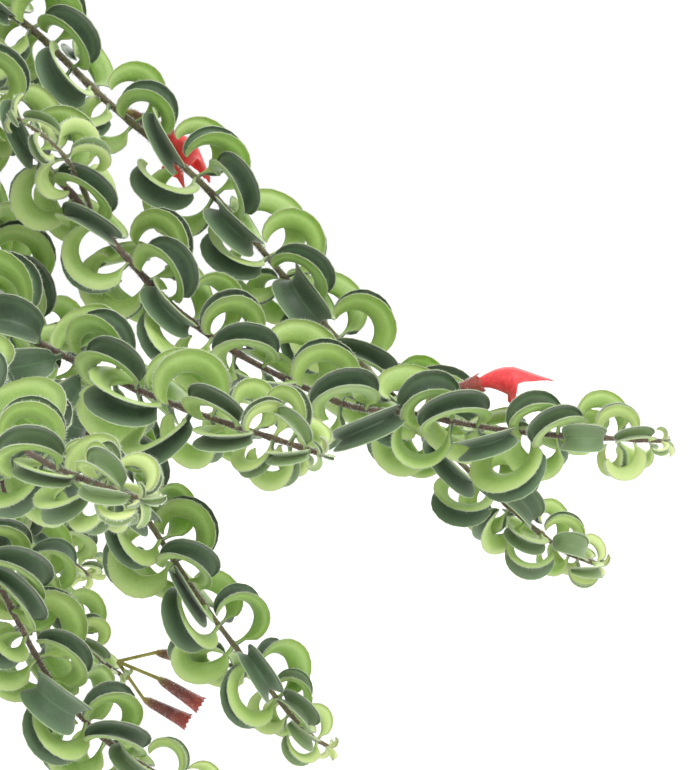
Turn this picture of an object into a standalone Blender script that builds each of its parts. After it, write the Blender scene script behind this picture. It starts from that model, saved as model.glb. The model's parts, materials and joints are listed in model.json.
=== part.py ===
"""A potted curly-leaved lipstick plant: trailing leafy stems in a tall plain pot, metres, +Z up.

The origin is the centre of the pot's base. The stems arch over the rim and trail freely, and each
leaf is a folded blade that curls backwards into a ring. Leaves are placed by a seeded rule that
turns a leaf or leaves it out where it would cross its neighbours.
"""

import math
import random

import bmesh
import bpy
from mathutils import Matrix, Vector
from mathutils.bvhtree import BVHTree

SEED = 41

# Pot and soil
POT_HEIGHT = 0.320
POT_RIM_RADIUS = 0.078
POT_FOOT_RADIUS = 0.060
POT_WALL = 0.0055
POT_FLOOR = 0.010
RIM_BAND = 0.022
RIM_STEP = 0.003
SOIL_TOP = 0.302
SOIL_MOUND = 0.004
GAP = 0.0003
TURNS = 32

# Stems
STEM_ROOT_DEPTH = 0.030
STEM_RADIUS = 0.0017
STEM_TIP_RADIUS = 0.0009
HOLE_RADIUS = 0.0023
UPRIGHT_HEIGHT = 0.010
TUBE_STEP = 0.034
NODE_SPACING = 0.0212
TIP_SPACING = 0.0080
PATH_STEP = 0.002

# Leaves
LEAF_LENGTH = 0.039
LEAF_HALF_WIDTH = 0.0088
# The fold of a blade's halves in degrees: most are folded far up, and some are nearly open
LEAF_FOLDS = (64, 58, 66, 60, 32)
FOLD_SPREAD = 8
LEAF_THICKNESS = 0.0022
PETIOLE_SHARE = 0.12
SOURCE_STATIONS = (0.13, 0.37, 0.60, 0.82)
LEAF_TRIES = 8
CLEARANCE = 0.0005
LEAF_POT_CLEARANCE = 0.003
FLOOR_CLEARANCE = 0.004

# Flowers
CALYX_LENGTH = 0.021
CALYX_RADIUS = 0.0033
CALYX_WALL = 0.0008
PEDICEL_RADIUS = 0.0008
KNOB_RADIUS = 0.0016
CALYX_SIDES = 8
CALYX_TEETH = 0.0008
COROLLA_BEND = 1.35
STALK_LENGTH = 0.0045
COROLLA_LENGTH = 0.047
COROLLA_THROAT = 0.032
COROLLA_WALL = 0.0009
COROLLA_ROOM = 0.0115
THROAT_RADIUS = 0.0054
CALYX_ROOM = CALYX_RADIUS + 0.0012
BLOOM_LIFT = 0.62
# Each calyx of a cluster: its base ahead of, aside from and above its root, and its tilt in degrees
CLUSTER_FAN = ((0.0160, -0.0030, 0.0035, -8), (0.0180, 0.0040, -0.0060, -32),
               (0.0110, 0.0000, -0.0160, -27))
# The corolla's outline at its mouth: angle from its top in degrees, reach ahead and flare, in metres
COROLLA_RIM = ((0, 0.0160, 0.0032), (35, 0.0140, 0.0040), (62, 0.0090, 0.0046), (92, 0.0020, 0.0078),
               (138, 0.0020, 0.0128), (160, 0.0070, 0.0078), (180, 0.0140, 0.0085))

# Each stem's route: points that it passes through, from the soil to the tip. The first is the hole.
STEMS = {
    "stem_01": ((0.026, 0.014), (0.034, 0.016, 0.345), (0.060, 0.020, 0.385), (0.107, 0.022, 0.371),
                (0.146, 0.022, 0.336), (0.188, 0.020, 0.299), (0.233, 0.016, 0.247),
                (0.281, 0.014, 0.198), (0.321, 0.018, 0.162), (0.341, 0.020, 0.152)),
    "stem_02": ((0.034, -0.014), (0.044, -0.018, 0.338), (0.066, -0.024, 0.361),
                (0.098, -0.028, 0.345), (0.133, -0.028, 0.307), (0.181, -0.030, 0.255),
                (0.234, -0.036, 0.226), (0.264, -0.040, 0.221), (0.304, -0.046, 0.215),
                (0.357, -0.056, 0.213)),
    "stem_03": ((0.018, -0.034), (0.026, -0.052, 0.336), (0.052, -0.090, 0.332),
                (0.088, -0.108, 0.292), (0.122, -0.120, 0.264), (0.175, -0.150, 0.242),
                (0.232, -0.182, 0.227)),
    "stem_04": ((0.042, 0.000), (0.060, 0.000, 0.331), (0.092, 0.001, 0.312), (0.114, 0.002, 0.252),
                (0.136, 0.006, 0.212), (0.159, 0.008, 0.177), (0.188, 0.014, 0.131),
                (0.221, 0.018, 0.088), (0.233, 0.020, 0.078)),
    "stem_05": ((0.022, -0.046), (0.030, -0.066, 0.327), (0.050, -0.098, 0.309),
                (0.078, -0.106, 0.250), (0.100, -0.098, 0.200), (0.117, -0.088, 0.164),
                (0.133, -0.076, 0.128), (0.156, -0.067, 0.100), (0.190, -0.064, 0.080)),
    "stem_06": ((0.038, 0.032), (0.055, 0.048, 0.328), (0.080, 0.072, 0.300), (0.088, 0.084, 0.236),
                (0.094, 0.086, 0.180), (0.106, 0.086, 0.136), (0.133, 0.085, 0.102),
                (0.145, 0.084, 0.092)),
    "stem_07": ((0.004, -0.040), (0.006, -0.056, 0.342), (0.022, -0.112, 0.340),
                (0.070, -0.160, 0.290), (0.120, -0.200, 0.247), (0.149, -0.235, 0.233),
                (0.181, -0.265, 0.226)),
}
# A young side shoot leaves this stem at this share of its length, through these offsets
SIDE_SHOOTS = {
    "stem_02": (0.475, ((-0.004, -0.010, 0.014), (-0.012, -0.018, 0.028), (-0.027, -0.024, 0.040))),
}
# The other stems: azimuth in degrees, hole radius, rise over the soil, reach and drop from the soil
RING_STEMS = (
    (58, 0.046, 0.040, 0.235, 0.190),
    (88, 0.030, 0.078, 0.270, 0.110),
    (114, 0.050, 0.034, 0.200, 0.215),
    (144, 0.032, 0.066, 0.290, 0.150),
    (174, 0.052, 0.032, 0.190, 0.225),
    (204, 0.030, 0.080, 0.290, 0.130),
    (236, 0.050, 0.036, 0.215, 0.200),
    (268, 0.032, 0.062, 0.250, 0.165),
    (40, 0.012, 0.098, 0.150, -0.030),
    (221, 0.012, 0.092, 0.160, -0.010),
)
# Blooms: stem, share of its length, and turn about the stem in degrees
BLOOMS = (("stem_02", 0.796, -20), ("stem_01", 0.470, -75), ("stem_09", 0.640, 60),
          ("stem_12", 0.620, 80))
CLUSTERS = (("stem_06", 0.985), ("stem_14", 0.985))


def clear_scene():
    for obj in list(bpy.data.objects):
        bpy.data.objects.remove(obj)


def new_collection(name):
    made = bpy.data.collections.new(name)
    bpy.context.scene.collection.children.link(made)
    return made


def material(name, colour, roughness, metallic=0.0):
    made = bpy.data.materials.new(name)
    made.use_nodes = True
    shader = made.node_tree.nodes["Principled BSDF"]
    shader.inputs["Base Color"].default_value = (*colour, 1.0)
    shader.inputs["Roughness"].default_value = roughness
    shader.inputs["Metallic"].default_value = metallic
    return made


# Layout: where every stem and leaf goes


def smooth_path(points, step=PATH_STEP):
    """Points a step apart along a Catmull-Rom curve through the route's points."""
    route = [Vector(p) for p in points]
    route = [2 * route[0] - route[1], *route, 2 * route[-1] - route[-2]]
    dense = []
    for a, b, c, d in zip(route, route[1:], route[2:], route[3:]):
        for i in range(24):
            t = i / 24
            dense.append(0.5 * (2 * b + (c - a) * t + (2 * a - 5 * b + 4 * c - d) * t ** 2
                                + (3 * b - 3 * c + d - a) * t ** 3))
    dense.append(route[-2])
    lengths = [0.0]
    for a, b in zip(dense, dense[1:]):
        lengths.append(lengths[-1] + (b - a).length)
    count = max(2, round(lengths[-1] / step))
    path, k = [], 0
    for i in range(count + 1):
        wanted = lengths[-1] * i / count
        while k < len(dense) - 2 and lengths[k + 1] < wanted:
            k += 1
        span = max(lengths[k + 1] - lengths[k], 1e-9)
        path.append(dense[k].lerp(dense[k + 1], (wanted - lengths[k]) / span))
    return path


def ring_route(azimuth, hole, rise, reach, drop):
    """A stem that rises from its hole, arches over the rim and trails outwards."""
    turn = math.radians(azimuth)
    sway = 0.25 * math.sin(3 * turn)
    arch = max(hole + 0.030, POT_RIM_RADIUS * 0.9)
    profile = ((hole + 0.006, SOIL_TOP + 0.55 * rise, 0.0),
               (0.45 * hole + 0.55 * arch, SOIL_TOP + 0.97 * rise, 0.1),
               (arch + 0.14 * (reach - arch), SOIL_TOP + rise - 0.06 * (rise + drop), 0.25),
               (arch + 0.36 * (reach - arch), SOIL_TOP + rise - 0.34 * (rise + drop), 0.5),
               (arch + 0.62 * (reach - arch), SOIL_TOP + rise - 0.68 * (rise + drop), 0.8),
               (arch + 0.84 * (reach - arch), SOIL_TOP + rise - 0.91 * (rise + drop), 0.95),
               (reach, SOIL_TOP - drop, 1.0))
    route = [(hole * math.cos(turn), hole * math.sin(turn))]
    for radius, height, share in profile:
        bearing = turn + sway * share
        route.append((radius * math.cos(bearing), radius * math.sin(bearing), height))
    return route


def stem_path(route):
    """The smooth path of a stem that stands upright in its hole."""
    x, y = route[0]
    upright = [(x, y, SOIL_TOP - STEM_ROOT_DEPTH), (x, y, SOIL_TOP + UPRIGHT_HEIGHT - 0.002),
               (x, y, SOIL_TOP + UPRIGHT_HEIGHT)]
    return smooth_path([*upright, *route[1:]])


def tangents(path):
    ends = [path[0], *path, path[-1]]
    return [(b - a).normalized() for a, b in zip(ends, ends[2:])]


def side_directions(path):
    """A direction square to the path at each point, carried along without twisting."""
    side = Vector((0, 1, 0))
    found = []
    for tangent in tangents(path):
        side = (side - side.dot(tangent) * tangent).normalized()
        found.append(side)
    return found


def stem_radius(share):
    return STEM_RADIUS + (STEM_TIP_RADIUS - STEM_RADIUS) * share


class Stem:
    """A stem's path, and the leaves and blooms that it carries."""

    def __init__(self, name, path, start, vigour=1.0, parent=None):
        self.name, self.path, self.start = name, path, start
        self.vigour, self.parent = vigour, parent
        self.tangents, self.sides = tangents(path), side_directions(path)
        self.length = sum((b - a).length for a, b in zip(path, path[1:]))
        self.leaves = []

    def index(self, distance):
        return min(len(self.path) - 1, max(0, round(distance / self.length * (len(self.path) - 1))))

    def coarse(self):
        """The few points of the path that the faceted tube runs through."""
        count = max(4, round(self.length / TUBE_STEP))
        points = [self.path[round(i * (len(self.path) - 1) / count)] for i in range(count + 1)]
        if not self.parent:
            points[1] = self.path[self.index(STEM_ROOT_DEPTH + UPRIGHT_HEIGHT - 0.002)]
        return points

    def nodes(self):
        """(distance along, size of the leaves) for each pair of leaves, to the tip."""
        found, distance = [], self.start
        while distance < self.length - 0.003:
            left = self.length - distance
            size = self.vigour * min(1.0, 0.42 + left / 0.085)
            found.append((distance, size))
            distance += max(TIP_SPACING, NODE_SPACING * min(1.0, 0.38 + left / 0.110))
        return found


def all_stems():
    routes = dict(STEMS)
    for i, numbers in enumerate(RING_STEMS):
        routes[f"stem_{len(STEMS) + i + 1:02d}"] = ring_route(*numbers)
    stems = []
    for name, route in routes.items():
        stem = Stem(name, stem_path(route), STEM_ROOT_DEPTH + 0.022)
        stems.append(stem)
        if name in SIDE_SHOOTS:
            share, offsets = SIDE_SHOOTS[name]
            root = nearest_on(stem.coarse(), stem.path[stem.index(share * stem.length)])
            path = smooth_path([root, *(root + Vector(o) for o in offsets)])
            stems.append(Stem(name + "_shoot", path, 0.014, 0.80, parent=name))
    return stems


def blade_width(along):
    """Half-width of the blade as a share of the widest, from its base at 0 to its tip at 1."""
    return math.sin(math.pi * min(1.0, max(0.0, along)) ** 0.85) ** 0.65


def nearest_on(line, point):
    """The nearest point of a line of straight runs to a point."""
    best = None
    for a, b in zip(line, line[1:]):
        along = b - a
        share = min(1.0, max(0.0, (point - a).dot(along) / along.length_squared))
        found = a + along * share
        if best is None or (found - point).length < (best - point).length:
            best = found
    return best


class Leaf:
    """A leaf rooted at a point of a stem. It heads outwards, then curls back towards the root."""

    def __init__(self, stem, distance, size, angle, draw, loosen):
        i = stem.index(distance)
        tangent, side = stem.tangents[i], stem.sides[i]
        spread = 14 + 30 * loosen
        around = Matrix.Rotation(math.radians(angle + draw.uniform(-spread, spread)), 3, tangent)
        outward = around @ side
        slant = math.radians(draw.uniform(8, 26))
        self.root = stem.path[i].copy()
        self.heading = (math.cos(slant) * outward + math.sin(slant) * tangent).normalized()
        up = (tangent - tangent.dot(self.heading) * self.heading).normalized()
        twist = math.radians(draw.uniform(-1, 1) * (22 + 45 * loosen))
        self.up = Matrix.Rotation(twist, 3, self.heading) @ up
        self.axis = self.heading.cross(self.up)
        self.size = size * draw.uniform(0.92, 1.08) * (1 - 0.2 * loosen)
        young = min(1.0, size / 0.75)
        self.turn = math.radians(draw.uniform(210, 275) * (0.35 + 0.65 * young))
        self.fold = math.radians(draw.choice(LEAF_FOLDS) + draw.uniform(-FOLD_SPREAD, FOLD_SPREAD))
        self.lean = draw.uniform(-0.16, 0.16)
        self.length = LEAF_LENGTH * self.size * draw.uniform(0.94, 1.06)
        self.width = LEAF_HALF_WIDTH * self.size * draw.uniform(0.92, 1.08)

    def heading_angle(self, share):
        """How far the midrib has turned at this share of its length: little at first, then evenly."""
        return self.turn * (share ** 1.25)

    def midrib(self, shares, steps=60):
        """(point, outward normal) of the midrib at each share of its length."""
        point, found, wanted = self.root.copy(), [], list(shares)
        for i in range(steps + 1):
            share = i / steps
            angle = self.heading_angle(share)
            while wanted and wanted[0] <= share + 1e-9:
                normal = math.sin(angle) * self.heading + math.cos(angle) * self.up
                found.append((point + self.axis * (self.lean * self.length * share ** 2), normal))
                wanted.pop(0)
            ahead = self.heading_angle(share + 0.5 / steps)
            step = math.cos(ahead) * self.heading - math.sin(ahead) * self.up
            point = point + step * (self.length / steps)
        return found

    def sections(self, extra=0.0):
        """Corner rings of the blade: margin, top of the midrib, margin, underside, then the tip."""
        shares = [PETIOLE_SHARE + (1 - PETIOLE_SHARE) * b for b in SOURCE_STATIONS]
        rib = self.midrib([*shares, 1.0])
        half = LEAF_THICKNESS / 2 * (0.45 + 0.55 * min(1.0, self.size)) + extra
        across = self.axis * math.cos(self.fold)
        rings = []
        for along, (point, normal) in zip(SOURCE_STATIONS, rib):
            reach = self.width * blade_width(along) + extra
            wing = normal * (math.sin(self.fold) * reach)
            rings.append([point + across * reach + wing, point + normal * half,
                          point - across * reach + wing, point - normal * half])
        return rings, rib[-1][0]

    def solid(self, extra=0.0, rooted=True):
        """(corners, faces) of the closed blade, from its pointed root in the stem to its tip."""
        rings, tip = self.sections(extra)
        corners = [corner for ring in rings for corner in ring] + [tip]
        faces = []
        for near in range(0, 4 * len(rings) - 4, 4):
            far = near + 4
            for margin, rib in ((0, 1), (2, 3)):
                faces += [(near + rib, near + margin, far + rib),
                          (near + margin, far + margin, far + rib)]
            for margin, rib in ((2, 1), (0, 3)):
                faces += [(near + margin, near + rib, far + rib),
                          (near + margin, far + rib, far + margin)]
        last = 4 * (len(rings) - 1)
        faces += [(last + (j + 1) % 4, last + j, len(corners) - 1) for j in range(4)]
        if rooted:
            corners.append(self.root)
            faces += [(j, (j + 1) % 4, len(corners) - 1) for j in range(4)]
        return corners, faces


def tree(corners, faces):
    return BVHTree.FromPolygons([tuple(c) for c in corners], faces)


def tube_solid(path, radius, sides=6):
    """(corners, faces) of a plain tube of this radius along a path."""
    corners, faces = [], []
    for point, tangent, side in zip(path, tangents(path), side_directions(path)):
        for i in range(sides):
            corners.append(point + Matrix.Rotation(2 * math.pi * i / sides, 3, tangent) @ side * radius)
    for r in range(len(path) - 1):
        for i in range(sides):
            a, b = r * sides + i, r * sides + (i + 1) % sides
            faces.append((a, b, b + sides, a + sides))
    return corners, faces


def outer_radius(height):
    share = min(1.0, max(0.0, height / POT_HEIGHT))
    return POT_FOOT_RADIUS + (POT_RIM_RADIUS - POT_FOOT_RADIUS) * share


def clear_of_pot(corners):
    for corner in corners:
        distance = math.hypot(corner.x, corner.y)
        if corner.z < FLOOR_CLEARANCE:
            return False
        if corner.z > POT_HEIGHT + LEAF_POT_CLEARANCE:
            continue
        outside = distance > outer_radius(corner.z) + LEAF_POT_CLEARANCE
        inside = (distance < POT_RIM_RADIUS - POT_WALL - RIM_STEP - LEAF_POT_CLEARANCE
                  and corner.z > SOIL_TOP + SOIL_MOUND + 0.001)
        if not (outside or inside):
            return False
    return True


class Calyx:
    """The line of one calyx: a thin stalk from the stem to its base, then the cup to its mouth."""

    def __init__(self, root, outward, base, heading):
        self.root, self.outward, self.base = root, outward, base
        self.heading = heading.normalized()
        self.mouth = base + self.heading * CALYX_LENGTH
        self.rise = square_to(Vector((0, 0, 1)), self.heading)


def square_to(direction, line):
    return (direction - direction.dot(line) * line).normalized()


def stalk_root(stem, share, outward):
    """Where a stalk starts, a hair clear of the faceted stem."""
    on_stem = nearest_on(stem.coarse(), stem.path[stem.index(share * stem.length)])
    return on_stem + outward * (stem_radius(share) + 2 * GAP)


def all_blooms(stems):
    """(name, calyx) for each single bloom, and (name, calyces) for each cluster."""
    named = {s.name: s for s in stems}
    blooms, clusters = [], []
    for number, (name, share, turn) in enumerate(BLOOMS, 1):
        stem = named[name]
        tangent = stem.tangents[stem.index(share * stem.length)]
        outward = square_to(Vector((0, 0, 1)), tangent)
        outward = Matrix.Rotation(math.radians(turn), 3, tangent) @ outward
        root = stalk_root(stem, share, outward)
        heading = (tangent + BLOOM_LIFT * outward).normalized()
        base = root + (outward + heading) * (0.6 * STALK_LENGTH)
        blooms.append((f"bloom_{number}", Calyx(root, outward, base, heading)))
    for number, (name, share) in enumerate(CLUSTERS, 1):
        stem = named[name]
        tangent = stem.tangents[-1]
        level = Vector((tangent.x, tangent.y, 0)).normalized()
        across = level.cross(Vector((0, 0, 1)))
        outward = square_to(level, tangent)
        knob = stalk_root(stem, share, outward) + outward * KNOB_RADIUS
        group = []
        for ahead, aside, lift, tilt in CLUSTER_FAN:
            away = level * ahead + across * aside + Vector((0, 0, lift))
            heading = level * math.cos(math.radians(tilt)) + Vector((0, 0, math.sin(math.radians(tilt))))
            group.append(Calyx(knob, away.normalized(), knob + away, heading))
        clusters.append((f"calyx_cluster_{number}", group))
    return blooms, clusters


def corolla_line(calyx, along):
    """(point, direction) on the corolla's axis: straight inside the calyx, then bending over."""
    bend = COROLLA_BEND * max(0.0, along - CALYX_LENGTH) / (COROLLA_LENGTH - CALYX_LENGTH)
    straight = calyx.base + calyx.heading * min(along, CALYX_LENGTH)
    over = max(0.0, along - CALYX_LENGTH)
    direction = math.cos(bend) * calyx.heading - math.sin(bend) * calyx.rise
    middle = math.cos(bend / 2) * calyx.heading - math.sin(bend / 2) * calyx.rise
    return straight + middle * over, direction


def bloom_blockers(blooms, clusters):
    """Plain tubes round the calyces and corollas, for the leaves to keep clear of."""
    found = []
    for _, calyx in blooms:
        throat, ahead = corolla_line(calyx, COROLLA_THROAT)
        reach = throat + ahead * (COROLLA_LENGTH - COROLLA_THROAT)
        found.append(tree(*tube_solid([calyx.root, calyx.base, calyx.mouth], CALYX_ROOM)))
        found.append(tree(*tube_solid([calyx.mouth, throat, reach], COROLLA_ROOM)))
    for _, group in clusters:
        for calyx in group:
            found.append(tree(*tube_solid([calyx.root, calyx.base, calyx.mouth], CALYX_ROOM)))
    return found


def leading_leaves(stem):
    """(distance, size, turn in degrees) for one leaf of each pair. Each pair is turned a quarter."""
    return [(distance, size, 90 * k) for k, (distance, size) in enumerate(stem.nodes())]


def place_leaves(stems, blockers, seed_shift, spots):
    """Puts a leaf on each of a stem's spots by the seeded rule."""
    tubes = {s.name: tree(*tube_solid(s.path[::4], STEM_RADIUS + 0.0004)) for s in stems}
    facets = {s.name: tree(*tube_solid(s.coarse(), STEM_RADIUS + 0.0004)) for s in stems}
    grown = {s.name: [leaf.tree for leaf in s.leaves] for s in stems}
    for number, stem in enumerate(stems):
        draw = random.Random(SEED + 100 * seed_shift + number)
        for distance, size, turn in spots(stem):
            leaf = fitting_leaf(stem, distance, size, turn, draw, (tubes, facets), grown, blockers)
            if leaf:
                stem.leaves.append(leaf)
                grown[stem.name].append(leaf.tree)


def fitting_leaf(stem, distance, size, angle, draw, tubes, grown, blockers):
    """The first draw of a leaf that crosses nothing, or None."""
    for attempt in range(LEAF_TRIES):
        leaf = Leaf(stem, distance, size, angle, draw, attempt / LEAF_TRIES)
        corners, faces = leaf.solid(CLEARANCE, rooted=False)
        if not clear_of_pot(corners):
            continue
        whole = tree(*leaf.solid(CLEARANCE))
        blade = tree(corners, faces)
        if any(blade.overlap(other) for other in blockers):
            continue
        if any(whole.overlap(tube) for shape in tubes for name, tube in shape.items()
               if name[:7] != stem.name[:7]):
            continue
        if blade.overlap(tubes[0][stem.name]) and attempt < LEAF_TRIES // 2:
            continue
        if any(blade.overlap(other) for name in grown for other in grown[name]):
            continue
        leaf.tree = whole
        return leaf
    return None


# Solids


def mesh_object(name, corners, faces, collection):
    mesh = bpy.data.meshes.new(name)
    mesh.from_pydata([tuple(c) for c in corners], [], faces)
    obj = bpy.data.objects.new(name, mesh)
    collection.objects.link(obj)
    return obj


def turned(name, profile, collection, turns=TURNS):
    """A solid turned about Z. The profile runs down its outer side and up its inner one."""
    mesh = bpy.data.meshes.new(name)
    edges = [(i, i + 1) for i in range(len(profile) - 1)]
    mesh.from_pydata([(r, 0, z) for r, z in profile], edges, [])
    obj = bpy.data.objects.new(name, mesh)
    collection.objects.link(obj)
    screw = obj.modifiers.new("turn", "SCREW")
    screw.steps = screw.render_steps = turns
    screw.use_merge_vertices = True
    screw.merge_threshold = 0.00001
    return obj


def make_pot(collection):
    """A tall tapered pot with a rim band and a shallow recess under its foot."""
    band = POT_RIM_RADIUS
    body = outer_radius(POT_HEIGHT - RIM_BAND) - RIM_STEP
    inner_top = band - POT_WALL - RIM_STEP
    inner_foot = POT_FOOT_RADIUS - RIM_STEP - POT_WALL
    profile = ((0, POT_FLOOR), (inner_foot, POT_FLOOR), (inner_top, POT_HEIGHT - 0.0015),
               (inner_top + 0.0015, POT_HEIGHT), (band - 0.0020, POT_HEIGHT),
               (band, POT_HEIGHT - 0.0020), (band, POT_HEIGHT - RIM_BAND),
               (body, POT_HEIGHT - RIM_BAND - 0.0015), (POT_FOOT_RADIUS - RIM_STEP, 0.0025),
               (POT_FOOT_RADIUS - RIM_STEP - 0.0025, 0), (0, 0))
    return turned("pot", profile, collection)


def make_soil(stems, collection, cutters):
    """The potting soil: it fills the pot, with a plain hole for each stem."""
    inner_top = POT_RIM_RADIUS - POT_WALL - RIM_STEP
    inner_foot = POT_FOOT_RADIUS - RIM_STEP - POT_WALL
    slope = (inner_top - inner_foot) / (POT_HEIGHT - POT_FLOOR)
    radius_at = lambda z: inner_foot + slope * (z - POT_FLOOR) - 0.0006
    bottom = POT_FLOOR + GAP
    profile = ((0, SOIL_TOP + SOIL_MOUND), (0.62 * inner_top, SOIL_TOP + 0.6 * SOIL_MOUND),
               (radius_at(SOIL_TOP), SOIL_TOP), (radius_at(bottom), bottom), (0, bottom))
    soil = turned("soil", profile, collection)
    for stem in stems:
        if stem.parent:
            continue
        depth = STEM_ROOT_DEPTH + 0.02
        bpy.ops.mesh.primitive_cylinder_add(
            vertices=6, radius=HOLE_RADIUS, depth=depth,
            location=(stem.path[0].x, stem.path[0].y, SOIL_TOP - STEM_ROOT_DEPTH - GAP + depth / 2))
        hole = bpy.context.object
        hole.name = "hole_" + stem.name
        hole.hide_render = True
        hole.display_type = "WIRE"
        for old in list(hole.users_collection):
            old.objects.unlink(hole)
        cutters.objects.link(hole)
    cut = soil.modifiers.new("stem_holes", "BOOLEAN")
    cut.operation = "DIFFERENCE"
    cut.operand_type = "COLLECTION"
    cut.collection = cutters
    cut.solver = "EXACT"
    return soil


def stem_tube(stem, collection):
    """A stem as a mesh: a tapering bevelled curve, turned into a mesh with its caps welded."""
    points = stem.coarse()
    curve = bpy.data.curves.new(stem.name, "CURVE")
    curve.dimensions = "3D"
    curve.bevel_depth = 1.0
    curve.bevel_resolution = 1
    curve.use_fill_caps = True
    spline = curve.splines.new("POLY")
    spline.points.add(len(points) - 1)
    scale = 0.62 if stem.parent else 1.0
    for i, point in enumerate(points):
        spline.points[i].co = (*point, 1)
        spline.points[i].radius = stem_radius(i / (len(points) - 1)) * scale
    helper = bpy.data.objects.new(stem.name + "_curve", curve)
    collection.objects.link(helper)
    bpy.context.view_layer.update()
    graph = bpy.context.evaluated_depsgraph_get()
    mesh = bpy.data.meshes.new_from_object(helper.evaluated_get(graph))
    welded = bmesh.new()
    welded.from_mesh(mesh)
    bmesh.ops.remove_doubles(welded, verts=welded.verts, dist=0.00001)
    welded.to_mesh(mesh)
    welded.free()
    obj = bpy.data.objects.new(stem.name, mesh)
    obj.matrix_world = helper.matrix_world
    collection.objects.link(obj)
    bpy.data.objects.remove(helper)
    return obj


def lofted(name, rings, collection):
    """A closed body through rings of equally many points, its first and last rings capped."""
    sides = len(rings[0])
    corners = [corner for ring in rings for corner in ring]
    faces = []
    for near in range(0, len(corners) - sides, sides):
        for i in range(sides):
            a, b = near + i, near + (i + 1) % sides
            faces.append((a, b, b + sides, a + sides))
    faces += [tuple(range(sides))[::-1], tuple(range(len(corners) - sides, len(corners)))]
    obj = mesh_object(name, corners, faces, collection)
    shaped = bmesh.new()
    shaped.from_mesh(obj.data)
    bmesh.ops.recalc_face_normals(shaped, faces=shaped.faces)
    shaped.to_mesh(obj.data)
    shaped.free()
    return obj


def ring_round(centre, heading, rise, radius, sides=CALYX_SIDES, teeth=0.0):
    """Points round a centre, the first at the top. Teeth push every other point ahead."""
    aside = heading.cross(rise)
    return [centre + rise * (radius * math.cos(2 * math.pi * i / sides))
            + aside * (radius * math.sin(2 * math.pi * i / sides))
            + heading * (teeth * (-1) ** i) for i in range(sides)]


def make_calyx(name, calyx, collection):
    """A narrow open cup with a toothed mouth, on its stalk."""
    heading, rise = calyx.heading, calyx.rise
    at = lambda share: calyx.base + heading * (CALYX_LENGTH * share)
    root_rise = heading.rotation_difference(calyx.outward) @ rise
    rings = [ring_round(calyx.root, calyx.outward, root_rise, PEDICEL_RADIUS),
             ring_round(calyx.base, heading, rise, PEDICEL_RADIUS),
             ring_round(at(0.14), heading, rise, 0.60 * CALYX_RADIUS),
             ring_round(at(0.60), heading, rise, 0.84 * CALYX_RADIUS),
             ring_round(at(1.0), heading, rise, 1.12 * CALYX_RADIUS, teeth=CALYX_TEETH),
             ring_round(at(0.98), heading, rise, 1.12 * CALYX_RADIUS - CALYX_WALL, teeth=CALYX_TEETH),
             ring_round(at(0.22), heading, rise, 0.66 * CALYX_RADIUS - CALYX_WALL)]
    return lofted(name, rings, collection)


def corolla_ring(calyx, along, radius):
    point, heading = corolla_line(calyx, along)
    aside = calyx.heading.cross(calyx.rise)
    rise = aside.cross(heading)
    turns = [t for t, _, _ in COROLLA_RIM] + [-t for t, _, _ in COROLLA_RIM[-2:0:-1]]
    return [point + rise * (radius * math.cos(math.radians(t)))
            + aside * (radius * math.sin(math.radians(t))) for t in turns]


def corolla_rim(calyx, along, thin):
    """The lobed mouth: a forward hood of two lobes, two side lobes and a lower one turned down."""
    point, heading = corolla_line(calyx, along)
    aside = calyx.heading.cross(calyx.rise)
    rise = aside.cross(heading)
    found = []
    for t, ahead, flare in [*COROLLA_RIM, *((-t, ahead, flare) for t, ahead, flare in COROLLA_RIM[-2:0:-1])]:
        slope = math.atan2(flare - THROAT_RADIUS, ahead)
        out = rise * math.cos(math.radians(t)) + aside * math.sin(math.radians(t))
        found.append(point + heading * (ahead + thin * math.sin(slope))
                     + out * (flare - thin * math.cos(slope)))
    return found


def make_corolla(name, calyx, collection):
    """A curved trumpet with a hood and pointed lobes, its foot inside the calyx."""
    throat = COROLLA_THROAT
    rings = [corolla_ring(calyx, 0.22 * CALYX_LENGTH + GAP, 0.0010),
             corolla_ring(calyx, CALYX_LENGTH, 0.0020),
             corolla_ring(calyx, 0.5 * (CALYX_LENGTH + throat), 0.0038),
             corolla_ring(calyx, throat, THROAT_RADIUS),
             corolla_rim(calyx, throat, 0.0),
             corolla_rim(calyx, throat, COROLLA_WALL),
             corolla_ring(calyx, throat + 0.0004, THROAT_RADIUS - COROLLA_WALL),
             corolla_ring(calyx, 0.5 * (CALYX_LENGTH + throat), 0.0038 - COROLLA_WALL),
             corolla_ring(calyx, CALYX_LENGTH, 0.0020 - COROLLA_WALL)]
    return lofted(name, rings, collection)


def make_cluster(name, group, collection):
    """Calyces on stalks that meet in a knob against the stem, joined as one body."""
    first = make_calyx(name, group[0], collection)
    others = bpy.data.collections.new(name + "_pieces")
    bpy.context.scene.collection.children.link(others)
    for i, calyx in enumerate(group[1:]):
        make_calyx(f"{name}_{i}", calyx, others)
    bpy.ops.mesh.primitive_ico_sphere_add(
        subdivisions=1, radius=KNOB_RADIUS, location=group[0].root)
    knob = bpy.context.object
    for old in list(knob.users_collection):
        old.objects.unlink(knob)
    others.objects.link(knob)
    join_all(first, others)
    return first


def join_all(obj, pieces):
    """Makes obj and every piece of the collection one body, and removes the pieces."""
    join = obj.modifiers.new("join", "BOOLEAN")
    join.operation = "UNION"
    join.operand_type = "COLLECTION"
    join.collection = pieces
    join.solver = "MANIFOLD"
    bpy.context.view_layer.update()
    graph = bpy.context.evaluated_depsgraph_get()
    joined = bpy.data.meshes.new_from_object(obj.evaluated_get(graph))
    obj.modifiers.clear()
    obj.data = joined
    for piece in list(pieces.objects):
        bpy.data.objects.remove(piece)
    bpy.data.collections.remove(pieces)


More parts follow.
